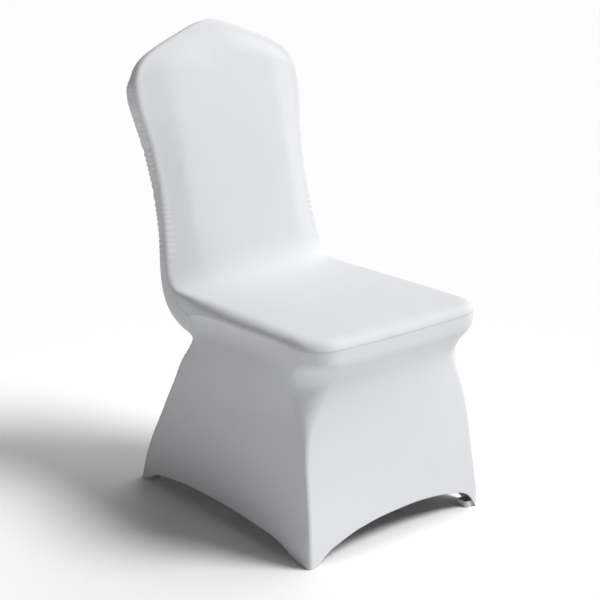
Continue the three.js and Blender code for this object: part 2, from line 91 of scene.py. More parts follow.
# Seat from the back forward to its rounded front corner, laid out as the table above.
SEAT = named_rows("face middle seam half reach", [
    ((120, 446), (75, 452.5), (120, 418), 216, 21),
    ((70, 446.5), (35, 453), (70, 423), 219.5, 24),
    ((15, 446.5), (-8, 453), (15, 425.5), 221.5, 26),
    ((-45, 446.5), (-55, 453), (-45, 427), 222, 26),
    ((-105, 446.5), (-108, 452), (-105, 428), 222, 26),
    ((-155, 446), (-158, 450), (-155, 428), 221.5, 26),
    ((-190, 445.5), (-198, 447.5), (-190, 428), 222, 26),
    ((-213, 445), (-222, 445), (-231, 427.5), 213.4, 26),
])

# Rear of the skirt from the seat seam down to the floor, where the back folds in and out again.
TAIL = named_rows("seam back back_middle half", [
    ((157, 386), (167, 357.5), (214, 347), 204),
    ((157, 357), (165.5, 352), (212, 334), 200.5),
    ((166, 334), (174, 334), (213, 317), 201.5),
    ((190, 300), (198, 300), (221, 290), 204),
    ((214.5, 250), (222.5, 250), (236, 245), 207),
    ((240, 200), (248, 200), (256, 197), 210),
    ((265, 150), (273, 150), (276, 150), 213),
    ((290.5, 100), (298.5, 100), (297, 105), 216),
    ((309.5, 50), (317.5, 50), (309, 70), 219),
    ((322, 0), (330, 0), (316, 50), 222),
])

# Outer line of the crown: distance from the middle, height.
CROWN = named_rows("x z", [
    (0, 960), (30, 955.5), (60, 945.5), (102, 930), (126, 920.5), (150, 910), (167, 901.5),
    (182, 891.5), (191, 883), (197, 875.5),
])

# Front corner of the skirt by height: half width, distance to the front, plan radius, and how far
# the cloth between the corners swells outwards (or bows in, below zero) at the front and sides.
CORNER = named_rows("z half front round swell_front swell_side", [
    (428, 222, 248, 56, 0, 0),
    (404, 221.5, 247, 56, 0, 0),
    (392, 220.5, 243, 59, 2, 0.5),
    (378, 218, 233, 63, 6, 2),
    (362, 216, 221, 64, 12, 4),
    (342, 214, 211, 58, 15, 5.5),
    (310, 213, 207, 42, 14, 6),
    (270, 213.5, 208.6, 20, 10, 5),
    (210, 219, 215.8, 10, 4, 2.5),
    (150, 222.5, 224.4, 9, -1, -1),
    (90, 226, 233.7, 9, -5, -4),
    (45, 229.5, 239.5, 9, -7, -6),
    (0, 230, 242, 9, -8, -7),
])

# Height of the hem: across the front from the left corner (-1) to the right (1), and along a side
# from the rear corner (0) to the front one (1). The rear arch is the front one, a little lower.
FRONT_HEM = named_rows("at z", [
    (-1, 0), (-0.965, 0), (-0.93, 2), (-0.885, 7), (-0.82, 17), (-0.75, 24.5), (-0.68, 29.5),
    (-0.48, 41.5), (-0.34, 46.5), (-0.2, 50.5), (0, 53), (0.23, 54.5), (0.38, 53.5),
    (0.53, 50.5), (0.68, 45), (0.8, 39.5), (0.87, 32), (0.92, 21), (0.95, 10), (0.975, 0),
    (1, 0),
])
SIDE_HEM = named_rows("at z", [
    (0, 0), (0.018, 0), (0.034, 5), (0.068, 17.5), (0.108, 25), (0.188, 31), (0.3, 35.5),
    (0.45, 36.5), (0.587, 35), (0.723, 30.5), (0.79, 28), (0.853, 20.5), (0.91, 8),
    (0.945, 1.5), (0.96, 0), (1, 0),
])
REAR_HEM_SHARE = 0.85

# The back: how far it leans back for each step up, over how many stations the rise of the crown
# dies down, and the power of the bow across it.
BACK_LEAN = 0.25
CROWN_STATIONS = 3
REST_BOW = 2.6

# The seam round the crown: how far it lies behind the face in the middle and at the corners, and
# over how many stations it turns into the seam down the side.
SEAM_DEPTH_TOP = 12
SEAM_DEPTH_CORNER = 15
CROWN_TURN_STATIONS = 1.2

# Height of the seam below the seat's front edge, in the middle and at the ends.
FRONT_SEAM_MIDDLE = 424
FRONT_SEAM_END = 427.5

# Rounded edges run from the panel round a knee to the seam, in steps that close up towards it.
# Hold says how closely they keep to the knee: one value for the back panel, and one by station
# for the front and seat panel.
RIM_STEPS = 9
RIM_EASE = 1.6
KNEE_HOLD = 0.64
RIM_HOLD = named_rows("place hold", [
    (0, 0.85), (2, 0.76), (8, 0.76), (10, 0.92), (13, 0.92), (14.5, 0.64), (21, 0.64),
])

# One part in this many of a panel's rows lies round the crown, where the ways out of the edge
# are evened out over a distance.
CROWN_PART = 4
CROWN_TURN = 24

# Width of the rounded edges below the back, the share of a corner's radius that its middle lies
# inside a sharp corner, the way into the cloth at the left front corner of the skirts, and what
# turns a left side into a right one.
REAR_CORNER = 8
CORNER_SHARE = 1 - math.sqrt(0.5)
DIAGONAL = np.array([math.sqrt(0.5), math.sqrt(0.5), 0])
MIRROR = np.array([-1, 1, 1])

# Skirts: how far down they still follow their seam, and how much the columns at the sides close
# up towards the feet.
SEAM_FADE = 45
FOOT_CROWD = 0.55

# How far edges are drawn back from their seams, and from the upright seams of the skirts, where
# the points within a distance of the seam move along. Rows stay a gap apart at the seat's corner.
SEAM_SHIFT = 0.12
CORNER_SEAM_SHIFT = 0.03
SEAM_ROOM = 3
ROW_GAP = 1

# Share of even spacing in the columns, which close up towards the sides otherwise.
EVEN = 0.4

# Cloth lower than this is thickened sideways only, so that it stays on the floor.
FLOOR_ZONE = 1

# Rows of a table that are closer than this count as one point.
ONE_POINT = 1e-4

# Foot pockets: outer corner on the floor, how far the mouth stands further back, size, and how
# far in and up the middle of the bend round the foot lies, in shares of its radius.
POCKET_FRONT_Y = -237.3
POCKETS = {
    "front_left": (-226.4, POCKET_FRONT_Y, 0.6),
    "front_right": (226.4, POCKET_FRONT_Y, 0.6),
    "rear_left": (-219, 324, -3.6),
    "rear_right": (219, 324, -3.6),
}
POCKET_WIDTH = 27
POCKET_HEIGHT = 13
POCKET_ROUND = 6
POCKET_CORNER_STEPS = 8
POCKET_LIP_STEPS = 6
POCKET_FOOT_ROUND = 0.3

# Padding of the back, seen through the cloth: how far it stands out, the half width of its flat
# front, its upper edge, which hangs lower near the middle, and how far down it reaches, measured
# from the top of the face. Softness is that of the bends at its sides and top.
PAD_HEIGHT = 12
PAD_HALF = 134
PAD_TOP = 50
PAD_SMILE = 36
PAD_SMILE_AT = -15
PAD_SMILE_WIDTH = 50
PAD_FADE = 400
PAD_FOOT = 560
PAD_SOFTNESS = 0.1

# Folds that the seams draw into each piece: the band in which they stand, as height, distance of
# its middle from the seam and width, the knit coordinate they follow, and where along it they
# die down. A fold of no height only gives the piece its seam.
PUCKERS = named_rows("piece seam height middle width axis to", [
    ("front_seat_panel", "crown", 0.25, 0, 10, 0, (140, 180)),
    ("front_seat_panel", "left", 0.9, 15, 9, 1, (400, 560)),
    ("front_seat_panel", "right", 0.9, 15, 9, 1, (400, 560)),
    ("front_seat_panel", "front", 0, 0, 10, 0, (140, 180)),
    ("back_panel", "crown", 0.8, 8, 14, 0, (140, 180)),
    ("back_panel", "left", 1.4, 10, 12, 1, (400, 560)),
    ("back_panel", "right", 1.4, 10, 12, 1, (400, 560)),
    ("back_panel", "tail_left", 0.5, 0, 16, 1, (800, 900)),
    ("back_panel", "tail_right", 0.5, 0, 16, 1, (800, 900)),
    ("skirt_front", "front", 0.2, 0, 10, 0, (300, 400)),
    ("skirt_left", "left", 0.2, 0, 10, 0, (300, 400)),
    ("skirt_left", "tail_left", 0.3, 0, 16, 1, (500, 600)),
    ("skirt_right", "right", 0.2, 0, 10, 0, (300, 400)),
    ("skirt_right", "tail_right", 0.3, 0, 16, 1, (500, 600)),
])

# Where the folds down a side grow, below the crown, and how far from a seam any fold grows.
PUCKER_FROM = (15, 50)
PUCKER_START = 3

# Folds change their spacing and height over a distance: how much the spacing changes, the mean
# height, its change and the least one, and the two places in the noise that are read for them.
PUCKER_DRIFT = 45
PUCKER_UNEVEN = 9
PUCKER_MEAN = 0.6
PUCKER_GAIN = 0.6
PUCKER_LEAST = 0.45
SPACING_NOISE = 0.5
HEIGHT_NOISE = 9.5

# Look of each slot: name of the material, and the settings that hold its colour and roughness.
LOOKS = {
    "stretch_knit": ("Panel knit", "colour", "roughness"),
    "pocket_knit": ("Foot pocket knit", "pocket_colour", "pocket_roughness"),
}

# Distance of the lamps from the seat in metres, which only the viewport shows.
LAMP_DISTANCE = 4

# Along the leaning back, upwards, and square to it, from the face to the outside.
BACK_UP = np.array([0, BACK_LEAN, 1]) / math.hypot(BACK_LEAN, 1)
BACK_INTO = np.array([0, 1, -BACK_LEAN]) / math.hypot(BACK_LEAN, 1)

# The tables count y from behind the seat's middle, and the frame from the middle of the box.
SHIFT_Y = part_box("foot_pocket_front_left")[0].y / MM - POCKET_FRONT_Y


def look_up(table, key, place, column):
    """Value of a table's column at a place in another column, eased between rows."""
    rows = table if table[-1][key] > table[0][key] else table[::-1]
    keys = [row[key] for row in rows]
    inside = min(max(place, keys[0]), keys[-1])
    row = 0
    while row < len(rows) - 2 and keys[row + 1] < inside:
        row += 1

    def slope(i):
        low, high = rows[max(i - 1, 0)], rows[min(i + 1, len(rows) - 1)]
        return (high[column] - low[column]) / (high[key] - low[key])

    start, end = rows[row][column], rows[row + 1][column]
    span = keys[row + 1] - keys[row]
    t = (inside - keys[row]) / span
    bend = t * t * (3 - 2 * t)
    leave = t * (1 - t) ** 2 * span * slope(row)
    arrive = t * t * (t - 1) * span * slope(row + 1)
    return start + (end - start) * bend + leave + arrive


def station(table, place, column):
    """Point or number of a station table at a place between two rows, on a centripetal curve."""
    values = [row[column] for row in table]
    flat = not isinstance(values[0], tuple)
    points = [np.array([v, 0.0]) if flat else np.array(v, float) for v in values]
    last = len(points) - 1
    i = min(int(place), last - 1)
    t = place - i
    p1, p2 = points[i], points[i + 1]
    p0 = points[i - 1] if i > 0 else 2 * p1 - p2
    p3 = points[i + 2] if i + 2 <= last else 2 * p2 - p1
    d0, d1, d2 = (math.sqrt(np.linalg.norm(b - a)) for a, b in ((p0, p1), (p1, p2), (p2, p3)))
    d1 = d1 if d1 > ONE_POINT else 1.0
    d0 = d0 if d0 > ONE_POINT else d1
    d2 = d2 if d2 > ONE_POINT else d1
    m1 = ((p1 - p0) / d0 - (p2 - p0) / (d0 + d1) + (p2 - p1) / d1) * d1
    m2 = ((p2 - p1) / d1 - (p3 - p1) / (d1 + d2) + (p3 - p2) / d2) * d1
    point = (
        p1 * (2 * t**3 - 3 * t**2 + 1) + m1 * (t**3 - 2 * t**2 + t)
        + p2 * (3 * t**2 - 2 * t**3) + m2 * (t**3 - t**2)
    )
    return float(point[0]) if flat else np.array([0.0, *point])


def corner_inset(distance, rounding):
    """How far a rounded corner lies inside a sharp one, at a distance from the sharp corner."""
    inside = max(0.0, rounding - distance)
    return rounding - math.sqrt(rounding * rounding - inside * inside)


def unit(vector):
    """Vector of length 1 that points the same way."""
    return vector / np.linalg.norm(vector)


def running_length(points):
    """Distance along a run of points from the first one to each."""
    steps = [np.linalg.norm(b - a) for a, b in zip(points, points[1:])]
    return np.concatenate([[0.0], np.cumsum(steps)])


def smooth(value, low, high):
    """0 below low, 1 above high, and an even turn between them."""
    t = np.clip((value - low) / (high - low), 0.0, 1.0)
    return t * t * (3 - 2 * t)


def crown_rise(at):
    """How far the crown rises along the leaning back at one column, above its corner."""
    inset = REST[0]["reach"] * CORNER_SHARE
    corner = REST[0]["half"] - inset
    rise = look_up(CROWN, "x", abs(at) * corner, "z") - look_up(CROWN, "x", corner, "z")
    return (rise - inset * (1 - at * at)) / BACK_UP[2]


def places_down(table, column, step):
    """Places down a station table, a step apart along one of its lines."""
    places = [0.0]
    for i in range(len(table) - 1):
        length = math.dist(table[i][column], table[i + 1][column])
        count = max(1, round(length / step))
        places += [i + (k + 1) / count for k in range(count)]
    return places


def panel_row(table, place, across, side_key, middle_key):
    """Row of points of the face or the back, at a station, for columns from -1 to 1."""
    side = station(table, place, side_key)
    middle = station(table, place, middle_key)
    reach = REAR_CORNER if table is TAIL else station(table, place, "reach")
    half = station(table, place, "half") - reach
    fade = 0.0 if table is TAIL else max(0.0, 1 - place / CROWN_STATIONS)
    row = []
    for at in across:
        bow = 1 - abs(at) ** REST_BOW
        point = side + (middle - side) * bow
        point[0] = at * half
        if fade:
            point = point + BACK_UP * crown_rise(at) * fade
        row.append(point)
    return row


def ramp(t):
    """0 up to t = 0, 1 from t = 1, straight between them, with softened ends."""
    low, high = (np.logaddexp(0, (t - end) / PAD_SOFTNESS) for end in (0, 1))
    return (low - high) * PAD_SOFTNESS


class Line:
    """A seam as a run of points, which gives each point of a sheet its distance from it."""

    def __init__(self, points):
        self.tree = kdtree.KDTree(len(points))
        for i, point in enumerate(points):
            self.tree.insert(Vector(point), i)
        self.tree.balance()

    def distance(self, points):
        """Distance of each point from the line."""
        return np.array([self.tree.find(Vector(point))[2] for point in points])


class Sheet:
    """A sheet under construction: points, quads, inward directions at seams and knit coordinates."""

    def __init__(self):
        self.points = []
        self.quads = []
        self.knit = []
        self.inward = {}

    def add(self, point, knit, inward=None):
        """Adds a point with its knit coordinates and, at a seam, the way into the cloth."""
        if inward is not None:
            self.inward[len(self.points)] = unit(inward)
        self.points.append(np.array(point, float))
        self.knit.append(knit)
        return len(self.points) - 1

    def grid(self, rows, knits):
        """Grid of points by row, downwards, then column, left to right as seen from outside."""
        ids = [[self.add(*pair) for pair in zip(row, knit)] for row, knit in zip(rows, knits)]
        for upper, lower in zip(ids, ids[1:]):
            for j in range(len(upper) - 1):
                self.quads.append((upper[j], lower[j], lower[j + 1], upper[j + 1]))
        return ids

    def normals(self):
        """Direction out of the cloth at each point."""
        points, quads = np.array(self.points), np.array(self.quads)
        a, b, c, d = (points[quads[:, i]] for i in range(4))
        faces = np.cross(c - a, d - b)
        normals = np.zeros_like(points)
        for i in range(4):
            np.add.at(normals, quads[:, i], faces)
        return normals / np.linalg.norm(normals, axis=1)[:, None]

    def shift(self, amounts):
        """Moves each point outwards by an amount."""
        for point, normal, amount in zip(self.points, self.normals(), amounts):
            point += normal * amount

    def open_edges(self):
        """Edges with cloth on one side only, each running as its quad does."""
        edges = {}
        for quad in self.quads:
            for a, b in zip(quad, quad[1:] + quad[:1]):
                if not edges.pop((b, a), False):
                    edges[(a, b)] = True
        return list(edges)

    def inwards(self):
        """Direction at each point from the outer side of the cloth to its inner side."""
        inwards = -self.normals()
        for i, inward in self.inward.items():
            inwards[i] = inward
        low = np.array(self.points)[:, 2] < FLOOR_ZONE
        inwards[low, 2] = 0
        inwards[low] /= np.linalg.norm(inwards[low], axis=1)[:, None]
        return inwards

    def crease(self, mesh, edges):
        """Keeps the shading of the sheet's own faces up to its seams."""
        count = len(self.points)
        seams = {
            (min(pair) + shift, max(pair) + shift)
            for pair in edges if pair[0] in self.inward and pair[1] in self.inward
            for shift in (0, count)
        }
        sharp = [tuple(sorted(edge.vertices)) in seams for edge in mesh.edges]
        mesh.attributes.new("sharp_edge", "BOOLEAN", "EDGE").data.foreach_set("value", sharp)

    def piece(self, name, slot, thickness, seam_distance):
        """Closed cloth in the scene: the sheet, its inner copy and a strip round the edge."""
        outer = np.array(self.points)
        points = np.concatenate([outer, outer + self.inwards() * thickness])
        points[:, 1] += SHIFT_Y
        count = len(outer)
        edges = self.open_edges()
        faces = [
            *self.quads,
            *(tuple(count + i for i in reversed(quad)) for quad in self.quads),
            *((b, a, count + a, count + b) for a, b in edges),
        ]
        mesh = bpy.data.meshes.new(name)
        mesh.from_pydata((points * MM).tolist(), [], faces)
        mesh.shade_smooth()
        self.crease(mesh, edges)
        add_knit_map(mesh, np.array(self.knit + self.knit))
        seam = mesh.attributes.new("seam", "FLOAT", "POINT")
        seam.data.foreach_set("value", np.concatenate([seam_distance, seam_distance]) * MM)
        return add_piece(name, mesh, slot)


def add_knit_map(mesh, knit):
    """Gives a mesh the knit coordinates of its points as a UV map."""
    corners = np.array([loop.vertex_index for loop in mesh.loops])
    mesh.uv_layers.new(name="Knit").data.foreach_set("uv", (knit[corners] * MM).ravel())


def look(slot):
    """Material of a slot, which the first piece that asks for it makes."""
    name, colour, roughness = LOOKS[slot]
    if name not in bpy.data.materials:
        knit = bpy.context.scene.cover_knit
        knit_material(name, knit, getattr(knit, colour), getattr(knit, roughness))
    return bpy.data.materials[name]


def add_piece(name, mesh, slot):
    """Puts a mesh in the scene in place of the node of the same name."""
    piece = bpy.data.objects.new(f"cloth_{name}", mesh)
    bpy.context.scene.collection.objects.link(piece)
    mesh.materials.append(look(slot))
    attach(piece, "root")
    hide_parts(name)
    return piece


def edge_places(row_count, column_count, closed):
    """Edge of a grid as (row, column), anticlockwise from the lower right corner."""
    up = [(row_count - 1 - i, column_count - 1) for i in range(row_count)]
    over = [(0, column_count - 2 - i) for i in range(column_count - 2)]
    down = [(i, 0) for i in range(row_count)]
    foot = [(row_count - 1, i + 1) for i in range(column_count - 2)]
    return up + over + down + (foot if closed else [])


def ways_out(sheet, edge, closed):
    """Directions out of a sheet, along its surface, at the points of its edge."""
    normals = sheet.normals()
    count = len(edge)
    outwards = []
    for i, point in enumerate(edge):
        before = edge[i - 1] if closed or i else point
        after = edge[(i + 1) % count] if closed or i < count - 1 else point
        along = sheet.points[after] - sheet.points[before]
        outwards.append(unit(np.cross(along, normals[point])))
    return outwards


def gentle_turns(points, outwards):
    """Directions out of an edge, each the mean of those close to it along the edge."""
    at = running_length(points)
    length = np.gradient(at)
    shares = [np.maximum(0, 1 - np.abs(at - place) / CROWN_TURN) * length for place in at]
    return [unit(share @ outwards) for share in shares]


def add_rim(sheet, ids, closed, hold, seam_at):
    """Sews a rounded rim to a grid's edge, all the way round where it is closed.

    hold says how closely a row's rim keeps to its knee, and seam_at gives the knee, the seam
    point and the way into the cloth there.
    """
    last_row, last_column = len(ids) - 1, len(ids[0]) - 1
    places = edge_places(len(ids), len(ids[0]), closed)
    edge = [ids[row][column] for row, column in places]
    count = len(edge)
    outwards = ways_out(sheet, edge, closed)
    gentle = gentle_turns(np.array([sheet.points[i] for i in edge]), np.array(outwards))
    crown_rows = len(ids) // CROWN_PART
    rings = []
    for i, (row, column) in enumerate(places):
        start = sheet.points[edge[i]]
        outward = gentle[i] if row < crown_rows else outwards[i]
        knee, seam, inward = seam_at(row, column, start, outward)
        leave = start + (knee - start) * hold(row)
        arrive = seam + (knee - seam) * hold(row)
        flat = np.array(sheet.knit[edge[i]])
        aside, up = (column == last_column) - (column == 0), (row == 0) - (row == last_row)
        away = unit(np.array([aside, up], float))
        ring, last = [], start
        for step in range(1, RIM_STEPS + 1):
            t = 1 - (1 - step / RIM_STEPS) ** RIM_EASE
            point = (
                (1 - t) ** 3 * start + 3 * (1 - t) ** 2 * t * leave
                + 3 * (1 - t) * t * t * arrive + t**3 * seam
            )
            flat = flat + away * np.linalg.norm(point - last)
            last = point
            if step < RIM_STEPS:
                ring.append(sheet.add(point, tuple(flat)))
            else:
                pulled = point + unit(knee - seam) * SEAM_SHIFT
                ring.append(sheet.add(pulled, tuple(flat), inward))
        rings.append(ring)
    for i in range(count if closed else count - 1):
        here, there = edge[i], edge[(i + 1) % count]
        for a, b in zip(rings[i], rings[(i + 1) % count]):
            sheet.quads.append((here, a, b, there))
            here, there = a, b


@functools.cache
def cover_grid(step, columns):
    """Places down and across that the panels share, a step apart."""
    half = columns // 2
    even = [(i - half) / half for i in range(2 * half + 1)]
    across = [EVEN * at + (1 - EVEN) * math.sin(at * math.pi / 2) for at in even]
    rest = places_down(REST, "face", step)
    seat = [len(REST) - 1 + place for place in places_down([REST[-1], *SEAT], "face", step)[1:]]
    return across, rest, seat, places_down(TAIL, "seam", step)


def padding(knit, down, halves):
    """How far the padding of the back stands out: flat, with a fall to each side and to the top."""
    across, drop = knit[:, 0], -knit[:, 1]
    half = np.interp(drop, down, halves)
    from_side = (half - np.abs(across)) / (half - PAD_HALF)
    top = PAD_TOP + PAD_SMILE * np.exp(-(((across - PAD_SMILE_AT) / PAD_SMILE_WIDTH) ** 2))
    from_top = drop / top
    foot = 1 - smooth(drop, PAD_FADE, PAD_FOOT)
    return PAD_HEIGHT * ramp(from_side) * ramp(from_top) * foot


def seat_corner(seam, rows_left):
    """Moves a seam point onto the seat's rounded corner, whose middle the last row reaches."""
    centre = np.array([
        math.copysign(SEAT_HALF - SEAT_ROUND, seam[0]), SEAT_ROUND - SEAT_FRONT, seam[2],
    ])
    forward = SEAT_ROUND * math.sqrt(0.5)
    if rows_left:
        forward = min(centre[1] - seam[1], forward - rows_left * ROW_GAP)
    outside = math.sqrt(SEAT_ROUND**2 - forward**2)
    turn = np.array([math.copysign(outside, seam[0]), -forward, 0])
    return centre + turn, -turn


def front_seat_sheet(step, columns):
    """Sheet for the face of the back and the seat, and its seam points by side."""
    across, rest, seat, _ = cover_grid(step, columns)
    places = rest + seat
    table = [*REST, *SEAT]
    rows = [panel_row(table, place, across, "face", "middle") for place in places]
    corner = SEAT_ROUND - SEAT_REACH
    ends = [
        SEAT_REACH - SEAT_FRONT + corner_inset(SEAT_HALF - SEAT_REACH - abs(point[0]), corner)
        for point in rows[-1]
    ]
    plain = [point[1] for point in rows[-1]]
    before_last = len(table) - 2
    # The rows before the front edge take on its plan, with the rounded corners.
    for place, row in zip(places, rows):
        for point, end, start in zip(row, ends, plain):
            point[1] += (end - start) * max(0.0, place - before_last)
    down = running_length([row[len(row) // 2] for row in rows])
    knits = [[(point[0], -drop) for point in row] for row, drop in zip(rows, down)]
    seams = {"crown": {}, "front": {}, "left": {}, "right": {}}
    last_row, last_column = len(rows) - 1, len(across) - 1

    def seam_at(row, column, start, outward):
        reach = station(table, places[row], "reach")
        knee = start + outward * reach
        inward = -outward if row in (0, last_row) else np.array([-np.sign(knee[0]), 0, 0])
        if row == 0:
            share = (start[0] / (REST[0]["half"] - reach)) ** 2
            depth = SEAM_DEPTH_TOP + (SEAM_DEPTH_CORNER - SEAM_DEPTH_TOP) * share
            seam = knee + BACK_INTO * depth
            seams["crown"][column] = (seam, inward)
        elif row == last_row:
            rise = (FRONT_SEAM_END - FRONT_SEAM_MIDDLE) * across[column] ** 2
            seam = np.array([knee[0], knee[1], FRONT_SEAM_MIDDLE + rise])
        else:
            on_side = station(table, places[row], "seam")
            on_side[0] = knee[0]
            fade = smooth(places[row], 0, CROWN_TURN_STATIONS)
            seam = on_side * fade + (knee + BACK_INTO * SEAM_DEPTH_CORNER) * (1 - fade)
        if column in (0, last_column):
            if seam[1] < SEAT_ROUND - SEAT_FRONT:
                seam, inward = seat_corner(seam, last_row - row)
                knee = np.array([seam[0], seam[1], knee[2]])
            seams["left" if column == 0 else "right"][row] = (seam, inward)
        if row == last_row:
            seams["front"][column] = (seam, inward)
        return knee, seam, inward

    def hold(row):
        return look_up(RIM_HOLD, "place", places[row], "hold")

    sheet = Sheet()
    add_rim(sheet, sheet.grid(rows, knits), True, hold, seam_at)
    halves = [row[-1][0] for row in rows]
    sheet.shift(padding(np.array(sheet.knit), down, halves))
    return sheet, {side: [found[i] for i in sorted(found)] for side, found in seams.items()}


@functools.cache
def seam_points(step, columns):
    """Seam points of the front and seat panel by side, each with the way into the cloth."""
    return front_seat_sheet(step, columns)[1]


def tail_seam(place):
    """Seam point between the back panel and the skirt, on the left, at a place down the tail."""
    seam = station(TAIL, place, "seam")
    seam[0] = -station(TAIL, place, "half")
    return seam


def back_sheet(step, columns):
    """Sheet for the outside of the back with both side bands, from the crown to the rear hem."""
    across, rest, _, tail = cover_grid(step, columns)
    seams = seam_points(step, columns)
    behind = across[::-1]
    rows = [panel_row(REST, place, behind, "back", "back_middle") for place in rest]
    rows += [panel_row(TAIL, place, behind, "back", "back_middle") for place in tail]
    for point, at in zip(rows[-1], behind):
        point[2] = look_up(FRONT_HEM, "at", -abs(at), "z") * REAR_HEM_SHARE
    down = running_length([row[len(row) // 2] for row in rows])
    knits = [[(-point[0], -drop) for point in row] for row, drop in zip(rows, down)]
    last_column = len(across) - 1

    def seam_at(row, column, start, outward):
        on_rest = row < len(rest)
        reach = station(REST, rest[row], "reach") if on_rest else REAR_CORNER
        knee = start + outward * reach
        if row == 0:
            return knee, *seams["crown"][last_column - column]
        if on_rest:
            return knee, *seams["right" if column == 0 else "left"][row]
        seam = tail_seam(tail[row - len(rest)])
        seam[0] *= -np.sign(start[0])
        knee[0] = seam[0]
        return knee, seam, np.array([-np.sign(start[0]), 0, 0])

    sheet = Sheet()
    add_rim(sheet, sheet.grid(rows, knits), False, lambda row: KNEE_HOLD, seam_at)
    return sheet


def front_skirt_point(at, z):
    """Point of the front skirt at a column from -1 to 1 and a height."""
    half = look_up(CORNER, "z", z, "half")
    rounding = look_up(CORNER, "z", z, "round")
    x = at * (half - CORNER_SHARE * rounding)
    swell = look_up(CORNER, "z", z, "swell_front") * (1 - at * at)
    front = look_up(CORNER, "z", z, "front")
    return np.array([x, corner_inset(half - abs(x), rounding) - front - swell, z])


def side_skirt_point(forward, z, rear_y, rear_half):
    """Point of the left skirt at a share of the way forward, a height, and its rear edge."""
    half = look_up(CORNER, "z", z, "half")
    rounding = look_up(CORNER, "z", z, "round")
    front = look_up(CORNER, "z", z, "front")
    y = rear_y - forward * (rear_y + front - CORNER_SHARE * rounding)
    swell = look_up(CORNER, "z", z, "swell_side") * 4 * forward * (1 - forward)
    x = corner_inset(y + front, rounding) - (rear_half + (half - rear_half) * forward) - swell
    return np.array([x, y, z])


def hang(seams, shares, hem_height, point_at):
    """Rows of a skirt: each column hangs from its seam point, whose line it leaves, to the hem."""
    drifts = [seam - point_at(column, seam[2], 0) for column, seam in enumerate(seams)]
    rows = []
    for row, share in enumerate(shares):
        points = []
        for column, seam in enumerate(seams):
            z = seam[2] + (hem_height(column) - seam[2]) * share
            fade = max(0.0, 1 - (seam[2] - z) / SEAM_FADE) ** 2
            points.append(point_at(column, z, row) + drifts[column] * fade)
        rows.append(points)
    return rows


def draw_in(row, shift):
    """Draws the first point of a row in from its seam, and the close ones after it less."""
    gaps = [np.linalg.norm(point - row[0]) for point in row]
    close = next(i for i, gap in enumerate(gaps) if gap > SEAM_ROOM)
    inward = unit(row[close] - row[0])
    for point, gap in zip(row[:close], gaps):
        point += inward * shift * (1 - gap / SEAM_ROOM)


def sewn_sheet(rows, inward_at):
    """Sheet of a skirt, its edge pulled back from its seams."""
    pulled = [[point.copy() for point in row] for row in rows]
    for j, point in enumerate(rows[0]):
        pulled[0][j] += unit(rows[1][j] - point) * SEAM_SHIFT
    for row in pulled:
        draw_in(row, CORNER_SEAM_SHIFT)
        draw_in(row[::-1], CORNER_SEAM_SHIFT)
    over = running_length(rows[0])
    knits = [[(over[j], point[2]) for j, point in enumerate(row)] for row in rows]
    sheet = Sheet()
    for i, row in enumerate(sheet.grid(pulled, knits)):
        for j, point in enumerate(row):
            inward = inward_at(i, j)
            if inward is not None:
                sheet.inward[point] = unit(inward)
    return sheet


def skirt_shares(step, columns):
    """Rear edge of the side skirts, and the share of the way down of each row of all skirts."""
    _, rest, _, tail = cover_grid(step, columns)
    start, _ = seam_points(step, columns)["left"][len(rest) - 1]
    edge = [start, *(tail_seam(place) for place in tail)]
    return edge, [1 - point[2] / start[2] for point in edge]


def front_skirt_sheet(step, columns):
    """Sheet of the front skirt, from the seat's front seam to the arched hem."""
    across = cover_grid(step, columns)[0]
    seams = seam_points(step, columns)["front"]
    shares = skirt_shares(step, columns)[1]
    hems = [look_up(FRONT_HEM, "at", at, "z") for at in across]
    rows = hang(
        [seam for seam, _ in seams], shares, lambda column: hems[column],
        lambda column, z, _: front_skirt_point(across[column], z),
    )

    def inward_at(row, column):
        if row == 0:
            return seams[column][1]
        if column == 0:
            return DIAGONAL
        return DIAGONAL * MIRROR if column == len(across) - 1 else None

    return sewn_sheet(rows, inward_at)


def side_skirt_sheet(step, columns, mirrored):
    """Sheet of the left skirt, or of the right one as its mirror image."""
    rest = cover_grid(step, columns)[1]
    top = seam_points(step, columns)["left"][len(rest) - 1:]
    seams = [seam for seam, _ in top]
    edge, shares = skirt_shares(step, columns)
    length = seams[0][1] - seams[-1][1]
    places = [(seams[0][1] - seam[1]) / length for seam in seams]
    crowded = [p - FOOT_CROWD * math.sin(2 * math.pi * p) / (2 * math.pi) for p in places]
    hems = [look_up(SIDE_HEM, "at", place, "z") for place in crowded]

    def point_at(column, z, row):
        low = 1 - z / seams[column][2]
        forward = places[column] + (crowded[column] - places[column]) * low
        return side_skirt_point(forward, z, edge[row][1], -edge[row][0])

    rows = hang(seams, shares, lambda column: hems[column], point_at)
    for row, point in zip(rows, edge):
        row[0] = point.copy()
    last = len(seams) - 1

    def inward_at(row, column):
        if row == 0:
            return top[column][1]
        if column == last:
            return DIAGONAL
        return np.array([1.0, 0, 0]) if column == 0 else None

    if not mirrored:
        return sewn_sheet(rows, inward_at)
    flipped = [[point * MIRROR for point in reversed(row)] for row in rows]

    def mirrored_inward(row, column):
        inward = inward_at(row, last - column)
        return None if inward is None else inward * MIRROR

    return sewn_sheet(flipped, mirrored_inward)


